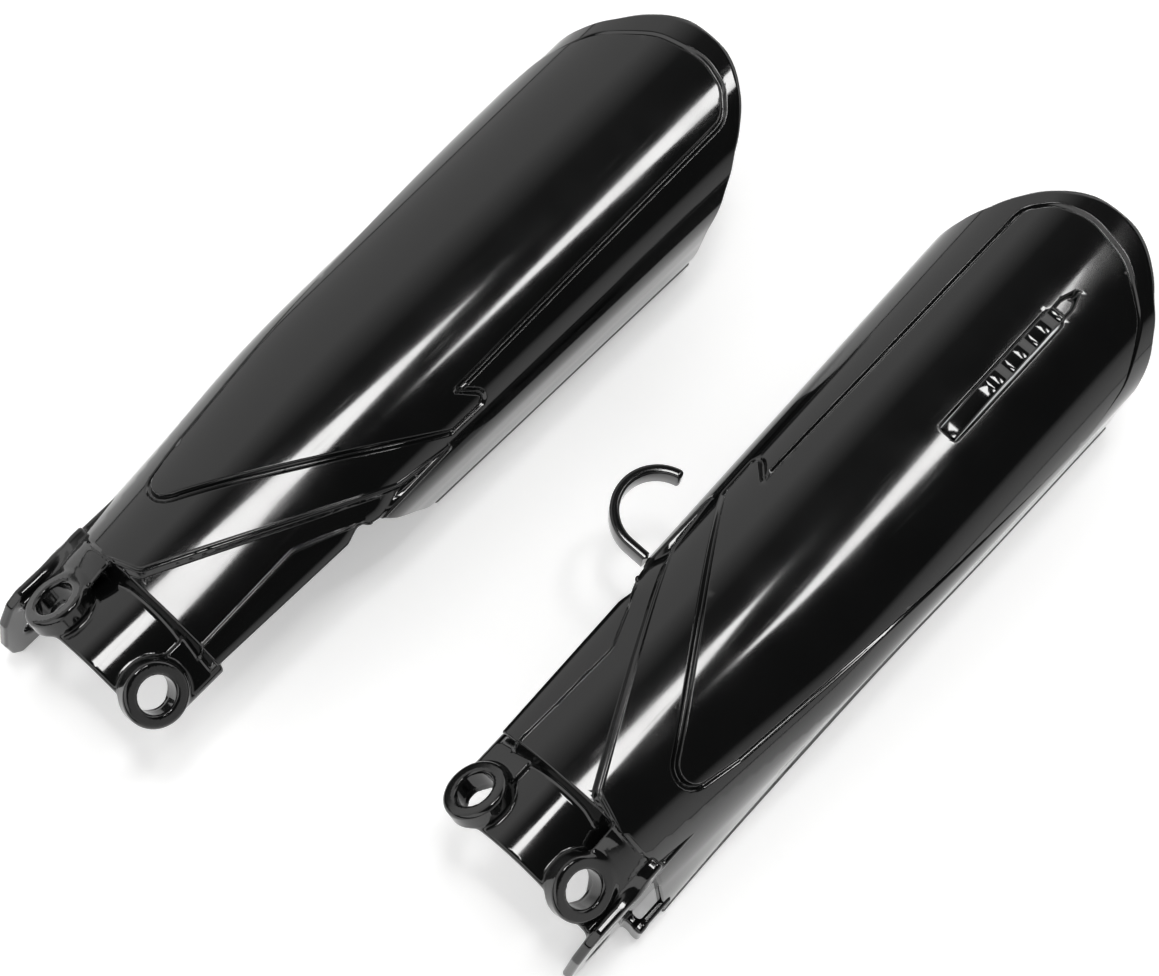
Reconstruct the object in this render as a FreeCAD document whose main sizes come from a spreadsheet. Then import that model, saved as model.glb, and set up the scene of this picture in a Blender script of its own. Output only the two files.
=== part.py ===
"""A pair of moulded fork-leg guards: a plain guard and its mirror image, which also
carries a brake-hose hook and a hose-clip tongue.

Millimetres. In a guard's own frame X runs across the leg (+X is the side with the short
wing), Y along the leg from the two front ears towards the rounded end, and +Z out of the
front face. Both guards lie front up on the plane Z = 0.
"""

import FreeCAD, Part

import math
import os

import Sketcher

SIZES = {
    # overall layout
    "pair_pitch": 141.7,
    "pair_stagger": 46.4,
    # moulded skin
    "skin_wall": 2.8,
    "body_start": 20.0,
    "body_end": 300.5,
    "blend_end": 110.0,
    "centre_low": -5.0,
    "centre_high": -3.5,
    "half_width_low": 40.0,
    "half_width_high": 45.9,
    "crown_low": 59.5,
    "crown_high": 66.0,
    "shoulder_height": 37.5,
    "mouth_shoulder": 6.0,
    "squared_share": 0.023,
    "wing_side_taper": 6.0,
    "long_side_taper": 1.6,
    # round end, cut off along a bent line as seen from the side
    "end_flank": 261.5,
    "end_flank_height": 40.0,
    "end_knee": 284.0,
    "end_knee_height": 61.5,
    "end_crown": 298.0,
    "end_crown_height": 65.9,
    # cut-away under the wing
    "wing_edge_height": 46.5,
    "notch_start": 79.0,
    "notch_turn": 93.0,
    "notch_turn_height": 46.0,
    "notch_corner": 105.0,
    "notch_corner_height": 29.0,
    "notch_foot": 120.0,
    # how far cutting tools run past what they cut, and joined shapes into each other
    "overrun": 20.0,
    "overlap": 5.0,
    # axle-lug saddle between the front ears
    "lug_axis_height": 19.0,
    "saddle_radius": 32.0,
    "saddle_wall": 3.2,
    "saddle_start": -8.0,
    "saddle_lower": 37.0,
    "step_wall": 3.0,
    "step_inset": 0.4,
    "step_side_wing": 30.0,
    "step_side_long": 28.0,
    # front ears
    "ear_half_pitch": 22.3,
    "ear_height": 47.0,
    "ear_lean": 38.0,
    "boss_radius": 11.3,
    "boss_depth": 7.0,
    "boss_stand": 2.5,
    "ear_hole_radius": 6.5,
    # side ear wall and its hole
    "side_wall_inner": -33.5,
    "side_wall_outer": -37.0,
    "side_wall_top": 43.0,
    "side_wall_back": 62.0,
    "side_ear_tip": -19.0,
    "side_ear_tip_height": 15.0,
    "side_ear_shoulder": -11.0,
    "side_ear_toe": 5.0,
    "side_hole_along": -5.0,
    "side_hole_height": 14.0,
    "side_hole_radius": 5.5,
    "bridge_wall": 4.0,
    "sill_start": 8.0,
    "sill_height": 13.0,
    "sill_wall": 3.0,
    # brake-hose hook, beside the hose guard's wing
    "hook_centre_across": 43.0,
    "hook_centre_along": 111.5,
    "hook_radius": 15.0,
    "hook_wall": 3.4,
    "hook_depth": 9.0,
    "hook_top": 46.0,
    "hook_end_angle": 80.0,
    "hook_root": 38.0,
    # hose-clip tongue on the hose guard's panel
    "tongue_across": -12.0,
    "tongue_root": 192.0,
    "tongue_tip": 251.0,
    "tongue_width": 6.2,
    "tongue_wall": 2.4,
    "tongue_lift": 5.0,
    "tongue_ramp": 0.36,
    "tongue_wave": 0.8,
    "tongue_waves": 3.0,
    "slot_margin": 1.4,
    "slot_end_gap": 0.4,
    "slot_tip_gap": 3.0,
}

doc = FreeCAD.newDocument("fork_guards")
sheet = doc.addObject("Spreadsheet::Sheet", "sizes")
for row, (alias, size) in enumerate(SIZES.items(), start=1):
    sheet.set(f"A{row}", alias)
    sheet.set(f"B{row}", str(size))
    sheet.setAlias(f"B{row}", alias)
doc.recompute()


def size(alias):
    return float(sheet.get(alias))


def bind(item, **expressions):
    """Bind an object's properties to expressions; sheet names are written as they are."""
    for name, expression in expressions.items():
        item.setExpression(name.replace("__", "."), expression)
    return item


def place(item, x="0", y="0", z="0"):
    """Bind an object's position."""
    for axis, expression in zip("xyz", (x, y, z)):
        item.setExpression(f"Placement.Base.{axis}", expression)
    return item


def turn(item, axis, angle):
    """Turn an object about an axis by an expression in degrees."""
    item.Placement = FreeCAD.Placement(FreeCAD.Vector(), FreeCAD.Rotation(FreeCAD.Vector(*axis), 1))
    item.setExpression("Placement.Rotation.Angle", angle)
    return item


def block(name, low, high):
    """A box between two corners, each a triple of expressions."""
    box = doc.addObject("Part::Box", name)
    spans = [f"({top}) - ({bottom})" for bottom, top in zip(low, high)]
    bind(box, Length=spans[0], Width=spans[1], Height=spans[2])
    return place(box, *low)


def cut(name, base, tool):
    result = doc.addObject("Part::Cut", name)
    result.Base, result.Tool = base, tool
    return result


def join(name, *shapes):
    result = doc.addObject("Part::MultiFuse", name)
    result.Shapes = list(shapes)
    return result


def keep(name, *shapes):
    result = doc.addObject("Part::MultiCommon", name)
    result.Shapes = list(shapes)
    return result


def side_prism(name, corners, start, length):
    """A prism along +X from a closed outline of (along, height) expression pairs."""
    sketch = doc.addObject("Sketcher::SketchObject", f"{name}_outline")
    sketch.Placement = FreeCAD.Placement(
        FreeCAD.Vector(), FreeCAD.Rotation(FreeCAD.Vector(1, 1, 1), 120)
    )
    values = [[evaluate(along), evaluate(height)] for along, height in corners]
    count = len(corners)
    for index in range(count):
        first = FreeCAD.Vector(*values[index], 0)
        second = FreeCAD.Vector(*values[(index + 1) % count], 0)
        sketch.addGeometry(Part.LineSegment(first, second))
    for index in range(count):
        sketch.addConstraint(Sketcher.Constraint("Coincident", index, 2, (index + 1) % count, 1))
    for index, pair in enumerate(corners):
        for kind, value, expression in zip(("DistanceX", "DistanceY"), values[index], pair):
            number = sketch.addConstraint(Sketcher.Constraint(kind, -1, 1, index, 1, value))
            label = f"corner_{index}_{kind}"
            sketch.renameConstraint(number, label)
            sketch.setExpression(f"Constraints.{label}", expression)
    place(sketch, x=start)
    prism = doc.addObject("Part::Extrusion", name)
    prism.Base = sketch
    prism.DirMode = "Custom"
    prism.Dir = FreeCAD.Vector(1, 0, 0)
    prism.Solid = True
    return bind(prism, LengthFwd=length)


def evaluate(expression):
    return float(getattr(sheet.evalExpression(expression), "Value", sheet.evalExpression(expression)))


def mix(low, high, share):
    return low + (high - low) * share


def section_wire(along, inset, depth):
    """The skin's cross-section at one station: straight sides under a squared-off oval."""
    share = (along - size("body_start")) / (size("body_end") - size("body_start"))
    centre = mix(size("centre_low"), size("centre_high"), share)
    half = mix(size("half_width_low"), size("half_width_high"), share) - inset
    crown = mix(size("crown_low"), size("crown_high"), share) - inset
    blend = (along - size("body_start")) / (size("blend_end") - size("body_start"))
    wing_shoulder = size("shoulder_height")
    long_shoulder = mix(size("mouth_shoulder"), wing_shoulder, min(blend, 1.0))
    squared = size("squared_share")

    def over(side, shoulder, angle):
        reach = (1 + squared) * math.cos(angle) - squared * math.cos(3 * angle)
        rise = (1 + squared) * math.sin(angle) + squared * math.sin(3 * angle)
        return FreeCAD.Vector(centre + side * half * reach, along, mix(shoulder, crown, rise))

    steps = 7
    angles = [math.pi / 2 * step / steps for step in range(steps)]
    wing_quarter = [over(1, wing_shoulder, angle) for angle in angles]
    long_quarter = [over(-1, long_shoulder, angle) for angle in reversed(angles)]
    top = FreeCAD.Vector(centre, along, crown)
    arch = Part.BSplineCurve()
    arch.interpolate(wing_quarter + [top] + long_quarter)
    wing_foot = FreeCAD.Vector(centre + half - size("wing_side_taper"), along, 0)
    wing_middle = FreeCAD.Vector(centre + half - size("wing_side_taper") / 4, along, wing_shoulder / 2)
    long_foot = FreeCAD.Vector(centre - half + size("long_side_taper"), along, 0)
    drop = FreeCAD.Vector(0, 0, -depth)
    edges = [
        Part.Arc(wing_foot, wing_middle, wing_quarter[0]).toShape(),
        arch.toShape(),
        Part.makeLine(long_quarter[-1], long_foot),
    ]
    if depth > 0:
        edges.append(Part.makeLine(long_foot, long_foot + drop))
        edges.append(Part.makeLine(long_foot + drop, wing_foot + drop))
        edges.append(Part.makeLine(wing_foot + drop, wing_foot))
    else:
        edges.append(Part.makeLine(long_foot, wing_foot))
    return Part.Wire(edges)


def skin_solid(name, inset, depth, reach):
    """A lofted solid of the skin's outline, drawn in by an inset and run down and on past its ends."""
    start = size("body_start") - reach
    blend_end = size("blend_end")
    steps = 3
    stations = [mix(start, blend_end, step / steps) for step in range(steps)]
    stations += [blend_end, size("body_end") + reach]
    solid = doc.addObject("Part::Feature", name)
    solid.Shape = Part.makeLoft([section_wire(along, inset, depth) for along in stations], True, True)
    return solid


def round_end_tool():
    """What lies beyond the round end."""
    corners = [
        ("sizes.end_flank", "-sizes.overrun"),
        ("sizes.end_flank", "sizes.end_flank_height"),
        ("sizes.end_knee", "sizes.end_knee_height"),
        ("sizes.end_crown", "sizes.end_crown_height"),
        ("sizes.body_end + sizes.overrun", "sizes.end_crown_height + sizes.overrun"),
        ("sizes.body_end + sizes.overrun", "-sizes.overrun"),
    ]
    reach = "sizes.half_width_high + sizes.overrun"
    return side_prism("round_end", corners, f"-({reach})", f"2 * ({reach})")


def notch_tool():
    """What is cut away on the wing side, under the wing and ahead of the deep flank."""
    corners = [
        ("sizes.body_start - sizes.overrun", "-sizes.overrun"),
        ("sizes.body_start - sizes.overrun", "sizes.wing_edge_height"),
        ("sizes.notch_start", "sizes.wing_edge_height"),
        ("sizes.notch_turn", "sizes.notch_turn_height"),
        ("sizes.notch_corner", "sizes.notch_corner_height"),
        ("sizes.notch_foot", "0"),
        ("sizes.notch_foot", "-sizes.overrun"),
    ]
    return side_prism("wing_notch", corners, "sizes.wing_side_taper", "sizes.half_width_high + sizes.overrun")


def body_skin():
    outer = skin_solid("skin_outer", 0.0, 0.0, 0.0)
    hollow = skin_solid("skin_hollow", size("skin_wall"), size("overrun"), size("overrun") / 4)
    shell = cut("skin_shell", outer, hollow)
    trimmed = cut("skin_with_end", shell, round_end_tool())
    return cut("skin_trimmed", trimmed, notch_tool())


def step_band():
    """The wall that steps down from the body's front to the lug saddle."""
    outer = skin_solid("step_outline", size("step_inset"), 0.0, 0.0)
    slab = block(
        "step_slab",
        ("-sizes.step_side_long", "sizes.body_start", "sizes.saddle_lower + sizes.overlap"),
        ("sizes.step_side_wing", "sizes.body_start + sizes.step_wall", "sizes.crown_high"),
    )
    wall = keep("step_wall_full", outer, slab)
    core = lug_cylinder("step_core", SADDLE_BORE, "0", "3 * sizes.overrun")
    return cut("step_wall_cut", wall, core)


SADDLE_BORE = "sizes.saddle_radius - sizes.saddle_wall"


def lug_cylinder(name, radius, start, length):
    """A cylinder about the fork-leg axis."""
    rod = doc.addObject("Part::Cylinder", name)
    rod.Placement = FreeCAD.Placement(
        FreeCAD.Vector(), FreeCAD.Rotation(FreeCAD.Vector(1, 0, 0), -90)
    )
    bind(rod, Radius=radius, Height=length)
    return place(rod, y=start, z="sizes.lug_axis_height")


def saddle():
    """The half-round saddle that lies on the axle lug between the front ears."""
    length = "sizes.body_start + sizes.step_wall - sizes.saddle_start"
    outer = lug_cylinder("saddle_outer", "sizes.saddle_radius", "sizes.saddle_start", length)
    before = "sizes.saddle_start - sizes.overlap"
    bore = lug_cylinder("saddle_bore", SADDLE_BORE, before, "4 * sizes.overrun")
    ring = cut("saddle_ring", outer, bore)
    region = block(
        "saddle_region",
        ("-sizes.half_width_high", before, "sizes.saddle_lower"),
        ("sizes.half_width_high", "sizes.body_start + sizes.overrun", "sizes.crown_high"),
    )
    return keep("saddle_arch", ring, region)


def ear_rod(name, side, radius, depth, stand):
    """A cylinder on a front ear's axis; its outer face stands off the ear's centre."""
    rod = doc.addObject("Part::Cylinder", name)
    turn(rod, (0, side, 0), "sizes.ear_lean")
    bind(rod, Radius=radius, Height=depth)
    back = f"({depth}) - ({stand})"
    across = f"{side} * (sizes.ear_half_pitch - ({back}) * sin(sizes.ear_lean * 1deg))"
    return place(rod, across, "0", f"sizes.ear_height - ({back}) * cos(sizes.ear_lean * 1deg)")


def side_ear_wall():
    """The wall that carries the third ear, down to the ground plane."""
    corners = [
        ("sizes.side_ear_shoulder", "sizes.side_wall_top"),
        ("sizes.side_ear_tip", "sizes.side_ear_tip_height"),
        ("sizes.side_ear_tip + sizes.side_ear_toe / 5", "sizes.side_ear_toe"),
        ("sizes.side_ear_tip + sizes.side_ear_toe", "0"),
        ("sizes.side_wall_back", "0"),
        ("sizes.side_wall_back", "sizes.side_wall_top"),
    ]
    wall = side_prism(
        "side_wall", corners, "sizes.side_wall_outer", "sizes.side_wall_inner - sizes.side_wall_outer"
    )
    hole = doc.addObject("Part::Cylinder", "side_hole")
    hole.Placement = FreeCAD.Placement(
        FreeCAD.Vector(), FreeCAD.Rotation(FreeCAD.Vector(0, 1, 0), 90)
    )
    bind(hole, Radius="sizes.side_hole_radius", Height="sizes.overrun")
    across = "sizes.side_wall_outer - sizes.overrun / 2"
    place(hole, across, "sizes.side_hole_along", "sizes.side_hole_height")
    return cut("side_wall_bored", wall, hole)


def side_bridge():
    """The web from the saddle out to the side ear's wall."""
    return block(
        "side_bridge",
        ("sizes.side_wall_outer", "sizes.saddle_start", "sizes.side_wall_top - sizes.bridge_wall"),
        ("-sizes.ear_half_pitch", "sizes.body_start + sizes.bridge_wall", "sizes.side_wall_top"),
    )


def mouth_sill():
    """The low wall across the foot of the side tunnel's mouth."""
    across = "sizes.centre_low - sizes.half_width_low + sizes.long_side_taper"
    front = block(
        "sill_front",
        (across, "sizes.sill_start", "0"),
        ("sizes.side_wall_inner", "sizes.sill_start + sizes.sill_wall", "sizes.sill_height"),
    )
    cheek = block(
        "sill_cheek",
        (across, "sizes.sill_start", "0"),
        (f"{across} + sizes.sill_wall", "sizes.body_start + sizes.sill_wall", "sizes.sill_height"),
    )
    return join("mouth_sill", front, cheek)


def guard_blank():
    """One guard in its own frame, with its third ear on the -X side."""
    bosses = [
        ear_rod(f"boss_{word}", side, "sizes.boss_radius", "sizes.boss_depth", "sizes.boss_stand")
        for word, side in (("wing", 1), ("long", -1))
    ]
    moulding = join(
        "moulding", body_skin(), step_band(), saddle(), side_ear_wall(), side_bridge(), mouth_sill(), *bosses
    )
    hole_depth, hole_stand = "sizes.boss_depth + sizes.overrun", "sizes.boss_stand + sizes.overrun / 2"
    holes = [
        ear_rod(f"ear_hole_{word}", side, "sizes.ear_hole_radius", hole_depth, hole_stand)
        for word, side in (("wing", 1), ("long", -1))
    ]
    bored = cut("bored_once", moulding, holes[0])
    return cut("guard_blank", bored, holes[1])


def brake_hose_hook():
    """An open hook, a flat strip on edge: a straight root and most of a circle."""
    hook = doc.addObject("Part::Feature", "hook_strip")
    radius = size("hook_radius")
    half_wall = size("hook_wall") / 2
    centre = FreeCAD.Vector(size("hook_centre_across"), size("hook_centre_along"), 0)
    end_angle = math.radians(size("hook_end_angle"))

    def rim(offset, angle):
        reach = radius + offset
        return centre + FreeCAD.Vector(reach * math.cos(angle), reach * math.sin(angle), 0)

    root = size("hook_root")
    bottom, middle = -math.pi / 2, (end_angle - math.pi / 2) / 2
    outer = [rim(half_wall, angle) for angle in (bottom, middle, end_angle)]
    inner = [rim(-half_wall, angle) for angle in (end_angle, middle, bottom)]
    root_outer = FreeCAD.Vector(root, outer[0].y, 0)
    root_inner = FreeCAD.Vector(root, inner[-1].y, 0)
    outline = Part.Wire(
        [
            Part.makeLine(root_outer, outer[0]),
            Part.Arc(*outer).toShape(),
            Part.makeLine(outer[-1], inner[0]),
            Part.Arc(*inner).toShape(),
            Part.makeLine(inner[-1], root_inner),
            Part.makeLine(root_inner, root_outer),
        ]
    )
    strip = Part.Face(outline).extrude(FreeCAD.Vector(0, 0, size("hook_depth")))
    strip.translate(FreeCAD.Vector(0, 0, size("hook_top") - size("hook_depth")))
    hook.Shape = strip
    return hook


def tongue_height(along):
    """The height of the tongue's underside: the panel's crown plus a ramp up to a waved top."""
    start, tip = size("tongue_root"), size("tongue_tip")
    share = (along - start) / (tip - start)
    body_share = (along - size("body_start")) / (size("body_end") - size("body_start"))
    crown = mix(size("crown_low"), size("crown_high"), body_share)
    ramp = min(share / size("tongue_ramp"), 1.0)
    lift = size("tongue_lift") * (3 - 2 * ramp) * ramp**2
    past_ramp = max(share - size("tongue_ramp"), 0.0) / (1 - size("tongue_ramp"))
    wave = size("tongue_wave") * math.sin(2 * math.pi * size("tongue_waves") * past_ramp)
    return crown - size("skin_wall") + lift + wave


def hose_clip_tongue():
    """A springy strip with a gently waved back, over a slot in the panel."""
    tongue = doc.addObject("Part::Feature", "tongue_strip")
    start = size("tongue_root") + size("slot_end_gap")
    steps = 18
    stations = [mix(start, size("tongue_tip"), step / steps) for step in range(steps + 1)]
    under = [FreeCAD.Vector(0, along, tongue_height(along)) for along in stations]
    over = [point + FreeCAD.Vector(0, 0, size("tongue_wall")) for point in reversed(under)]
    lower, upper = Part.BSplineCurve(), Part.BSplineCurve()
    lower.interpolate(under)
    upper.interpolate(over)
    outline = Part.Wire(
        [
            lower.toShape(),
            Part.makeLine(under[-1], over[0]),
            upper.toShape(),
            Part.makeLine(over[-1], under[0]),
        ]
    )
    strip = Part.Face(outline).extrude(FreeCAD.Vector(size("tongue_width"), 0, 0))
    strip.translate(FreeCAD.Vector(size("tongue_across") - size("tongue_width") / 2, 0, 0))
    tongue.Shape = strip
    return tongue


def tongue_slot():
    """The slot through the panel that the tongue springs into."""
    margin = "sizes.tongue_width / 2 + sizes.slot_margin"
    end, top = "sizes.tongue_tip + sizes.slot_tip_gap", "sizes.crown_high + sizes.overrun"
    return block(
        "tongue_slot",
        (f"sizes.tongue_across - ({margin})", "sizes.tongue_root", "sizes.shoulder_height"),
        (f"sizes.tongue_across + ({margin})", end, top),
    )


def mirrored(name, source):
    """The source's mirror image across the plane X = 0."""
    image = doc.addObject("Part::Mirroring", name)
    image.Source = source
    image.Normal = FreeCAD.Vector(1, 0, 0)
    return image


blank = guard_blank()
hose_blank = cut("hose_blank", mirrored("blank_image", blank), mirrored("slot_image", tongue_slot()))
hook_image = mirrored("hook_image", brake_hose_hook())
tongue_image = mirrored("tongue_image", hose_clip_tongue())
doc.recompute()

PLAIN_ACROSS = "-sizes.pair_pitch / 2"
HOSE_ACROSS = "sizes.pair_pitch / 2"
PLAIN_ALONG = "-(sizes.side_ear_tip + sizes.end_crown + sizes.pair_stagger) / 2"
HOSE_ALONG = f"{PLAIN_ALONG} + sizes.pair_stagger"

subparts = []
for label, source, across, along in (
    ("plain_guard", blank, PLAIN_ACROSS, PLAIN_ALONG),
    ("hose_guard", hose_blank, HOSE_ACROSS, HOSE_ALONG),
    ("brake_hose_hook", hook_image, HOSE_ACROSS, HOSE_ALONG),
    ("hose_clip_tongue", tongue_image, HOSE_ACROSS, HOSE_ALONG),
):
    part = doc.addObject("Part::Compound", label)
    part.Label = label
    part.Links = [source]
    subparts.append(place(part, across, along))
doc.recompute()

for item in doc.Objects:
    if {"Invalid", "Error"} & set(item.State):
        raise RuntimeError(f"{item.Label} failed: {item.State}")

os.makedirs("parts", exist_ok=True)
for part in subparts:
    if part.Shape.isNull() or not part.Shape.isValid():
        raise RuntimeError(f"{part.Label} is not a valid shape")
    if len(part.Shape.Solids) != 1:
        raise RuntimeError(f"{part.Label} has {len(part.Shape.Solids)} solids")
    part.Shape.exportStep(f"parts/{part.Label}.step")
    box = part.Shape.optimalBoundingBox(True, False)
    spans = " ".join(f"{low:.2f}..{high:.2f}" for low, high in (
        (box.XMin, box.XMax), (box.YMin, box.YMax), (box.ZMin, box.ZMax)))
    print(f"{part.Label}: {part.Shape.Volume:.0f} mm3, box {spans}")
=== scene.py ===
"""The looks of a pair of fork-leg guards: gloss-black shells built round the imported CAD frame.

Shapes are worked out in millimetres in a guard's own frame, as in the CAD: X across the leg with
the short wing on +X, Y along it from the two front ears to the rounded end, Z out of the front.
The plain guard is used as it is and the hose guard is its mirror image.

The skin is a grid of (turn, along) places: turn goes round the leg, along runs up it. Each step of
the relief is a smooth function of the distance to an outline drawn on the skin.
"""

import math

import bpy
import numpy as np
import openvdb
from mathutils import Matrix, Vector


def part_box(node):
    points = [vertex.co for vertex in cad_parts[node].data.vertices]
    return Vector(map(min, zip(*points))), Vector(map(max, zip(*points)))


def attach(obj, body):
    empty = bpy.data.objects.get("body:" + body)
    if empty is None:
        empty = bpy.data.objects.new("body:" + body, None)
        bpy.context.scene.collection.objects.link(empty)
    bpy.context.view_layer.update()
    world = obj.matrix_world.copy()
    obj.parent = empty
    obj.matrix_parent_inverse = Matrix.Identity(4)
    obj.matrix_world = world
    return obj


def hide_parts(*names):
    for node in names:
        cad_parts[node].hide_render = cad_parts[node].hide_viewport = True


MM = 0.001
OUTSIDE = 1e3  # stands for a place far outside a shape
TINY = 1e-12

# the skin's section; pairs are its values at the mouth and at the rounded end
BODY_START, BODY_END, CROWN_END = 20.0, 300.5, 298.0
CENTRE = (-5.0, -3.5)
HALF_WIDTH = (40.0, 45.9)
CROWN = (59.5, 66.0)
SHOULDER = 37.5
MOUTH_SHOULDER, BLEND_END, BLEND_SHARPNESS = 6.0, 110.0, 12
SQUARED = 0.023
WING_TAPER, LONG_TAPER = 6.0, 1.6
WALL = 2.6
FLANK_SHARE = 0.16
UNROLL_STEPS, SEARCH_STEPS = 28, 400

# relief of the front face: how deep or high each feature is, and over what distance
PANEL_DROP, PANEL_STEP, PANEL_GROOVE = 1.3, 1.7, 1.0
PLATE_DROP, PLATE_STEP = 2.3, 2.0
BAND_DROP, BAND_STEP = 1.5, 1.3
RIB_RISE, RIB_REACH = 0.9, 0.9
PLATE_LIP, PLATE_LIP_REACH = 0.35, 0.8
WING_RISE, WING_REACH = 2.9, 12.0
RECESS_DEPTH, RECESS_STEP = 1.8, 1.6
EDGE_ROUND = 1.1
# the relief fades away down the flanks, and the foot lip fades away up them
RELIEF_FOOT, RELIEF_FADE, LIP_FADE = 8, 20, 24
LIP_HEIGHT, LIP_DROP, LIP_STEP = 3.2, 0.7, 0.8
# the long flank's crease: its height at the mouth and further up, and where it fades out
CREASE_HEIGHT, CREASE_END, CREASE_SPAN = (50.0, 38.0), 140, 46
CREASE_DEPTH, CREASE_FADE = 2.6, (120.0, 200.0)
# the rounded end is cut at a slant on top, so there the skin is longer than the side view shows
END_SLANT, END_SLANT_FOOT, END_SLANT_FADE = 1.6, 40, 22
# the front edge keeps its corner where the long-side ear joins it
EAR_ROOT_ACROSS, EAR_ROOT_WIDTH, EAR_ROOT_FOOT, EAR_ROOT_FADE = -20, 4, 30, 6


def mix(low, high, share):
    return low + (high - low) * share


def smooth(share):
    share = np.clip(share, 0.0, 1.0)
    return share * share * (3 - 2 * share)


# ---------------------------------------------------------------- the skin's base surface


def skin_point(turn, along):
    """A point of the bare skin: turn runs 0 to 1 from the wing-side foot over the crown."""
    share = (along - BODY_START) / (BODY_END - BODY_START)
    centre, half, crown = mix(*CENTRE, share), mix(*HALF_WIDTH, share), mix(*CROWN, share)
    blend = (along - BODY_START) / (BLEND_END - BODY_START)
    blend = 1 - np.logaddexp(0, (1 - blend) * BLEND_SHARPNESS) / BLEND_SHARPNESS
    long_shoulder = mix(MOUTH_SHOULDER, SHOULDER, blend)
    angle = np.clip((turn - FLANK_SHARE) / (1 - 2 * FLANK_SHARE), 0, 1) * math.pi
    shoulder = np.where(angle < math.pi / 2, SHOULDER, long_shoulder)
    across = half * ((1 + SQUARED) * np.cos(angle) - SQUARED * np.cos(3 * angle))
    rise = (1 + SQUARED) * np.sin(angle) + SQUARED * np.sin(3 * angle)
    height = shoulder + (crown - shoulder) * rise
    wing_drop = np.clip(1 - turn / FLANK_SHARE, 0, 1)
    long_drop = np.clip(1 - (1 - turn) / FLANK_SHARE, 0, 1)
    across = across - WING_TAPER * wing_drop**2 + LONG_TAPER * long_drop**2
    height = height - SHOULDER * wing_drop - long_shoulder * long_drop
    return np.stack([centre + across, along, height], -1)


def unroll(turn, along):
    """How far round the section a point lies from the crown, the wing side being positive."""
    turns = 0.5 + (turn[:, None] - 0.5) * np.linspace(0, 1, UNROLL_STEPS)[None, :]
    line = skin_point(turns, np.repeat(along[:, None], UNROLL_STEPS, 1))
    length = np.linalg.norm(np.diff(line, axis=1), axis=2).sum(1)
    return np.where(turn < 0.5, length, -length)


def on_skin(across, along):
    """Unrolled place of a point of the upper face, given where it is seen from above."""
    turns = np.linspace(FLANK_SHARE, 1 - FLANK_SHARE, SEARCH_STEPS)
    line = skin_point(turns, np.full(turns.shape, float(along)))
    turn = np.interp(-across, -line[:, 0], turns)
    return np.array([unroll(np.array([turn]), np.array([float(along)]))[0], along])


# ---------------------------------------------------------------- outlines and distances


# an arc takes up at most this share of an edge; a corner flatter than this half-angle is kept
MOST_OF_AN_EDGE, NEARLY_STRAIGHT = 0.48, math.pi / 2 - 1e-3


def rounded_outline(corners, steps=7):
    """A closed outline from (x, y, radius) corners, each rounded with an arc."""
    points = [np.array(corner[:2], float) for corner in corners]
    result = []
    for index, (_, _, radius) in enumerate(corners):
        here = points[index]
        before = points[index - 1] - here
        after = points[(index + 1) % len(points)] - here
        reach_limit = MOST_OF_AN_EDGE * min(np.linalg.norm(before), np.linalg.norm(after))
        before, after = before / np.linalg.norm(before), after / np.linalg.norm(after)
        half_angle = 0.5 * math.acos(np.clip(before @ after, -1, 1))
        if radius <= 0 or half_angle > NEARLY_STRAIGHT:
            result.append(here)
            continue
        reach = min(radius / math.tan(half_angle), reach_limit)
        radius = reach * math.tan(half_angle)
        middle = before + after
        centre = here + middle / np.linalg.norm(middle) * math.hypot(reach, radius)
        first, last = here + before * reach - centre, here + after * reach - centre
        start = math.atan2(first[1], first[0])
        sweep = (math.atan2(last[1], last[0]) - start + math.pi) % (2 * math.pi) - math.pi
        for step in range(steps + 1):
            angle = start + sweep * step / steps
            result.append(centre + radius * np.array([math.cos(angle), math.sin(angle)]))
    return np.array(result)


def distance(points, outline):
    """Distance to a closed outline; inside it is negative."""
    best = np.full(len(points), np.inf)
    inside = np.zeros(len(points), bool)
    for a, b in zip(outline, np.roll(outline, -1, axis=0)):
        edge, offset = b - a, points - a
        share = np.clip(offset @ edge / max(edge @ edge, TINY), 0, 1)
        best = np.minimum(best, np.hypot(*(offset - share[:, None] * edge).T))
        crosses = (a[1] > points[:, 1]) != (b[1] > points[:, 1])
        slope = (b[0] - a[0]) / (b[1] - a[1] if b[1] != a[1] else TINY)
        inside ^= crosses & (points[:, 0] < a[0] + (points[:, 1] - a[1]) * slope)
    return np.where(inside, -best, best)


def outline_on_skin(corners):
    return rounded_outline([(*on_skin(x, y), radius) for x, y, radius in corners])


# Outlines are lists of (x, y, corner radius).
# The raised panel, seen from above: its pointed corner lies over the wing side.
PANEL = outline_on_skin([
    (-26, 38, 7), (30, 129.5, 1.2), (30.4, 145, 0.8), (22, 136, 0.8),
    (21.2, 200, 0), (20.6, 276, 9), (13, 283.5, 9), (2, 286.8, 20),
    (-16, 283, 20), (-33.4, 271, 20), (-44, 253, 16), (-46.6, 233, 30),
    (-45.3, 205.5, 0), (-41.6, 155, 0), (-36.9, 108, 0), (-31.8, 64.5, 0),
])
# The low plate beside the panel's foot, and the band along the wing's edge that steps down again.
PLATE = outline_on_skin([
    (-36, 8, 0), (-26, 17, 4), (-7, 23.5, 4), (31.5, 103, 3),
    (34, 125, 0), (34.8, 60, 0), (34.7, 8, 0),
])
OUTER_BAND = outline_on_skin([
    (24.8, 5, 0), (23.2, 63, 5), (31.5, 86, 3), (34.9, 90, 0), (34.9, 40, 0), (34.9, 5, 0),
])
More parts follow.
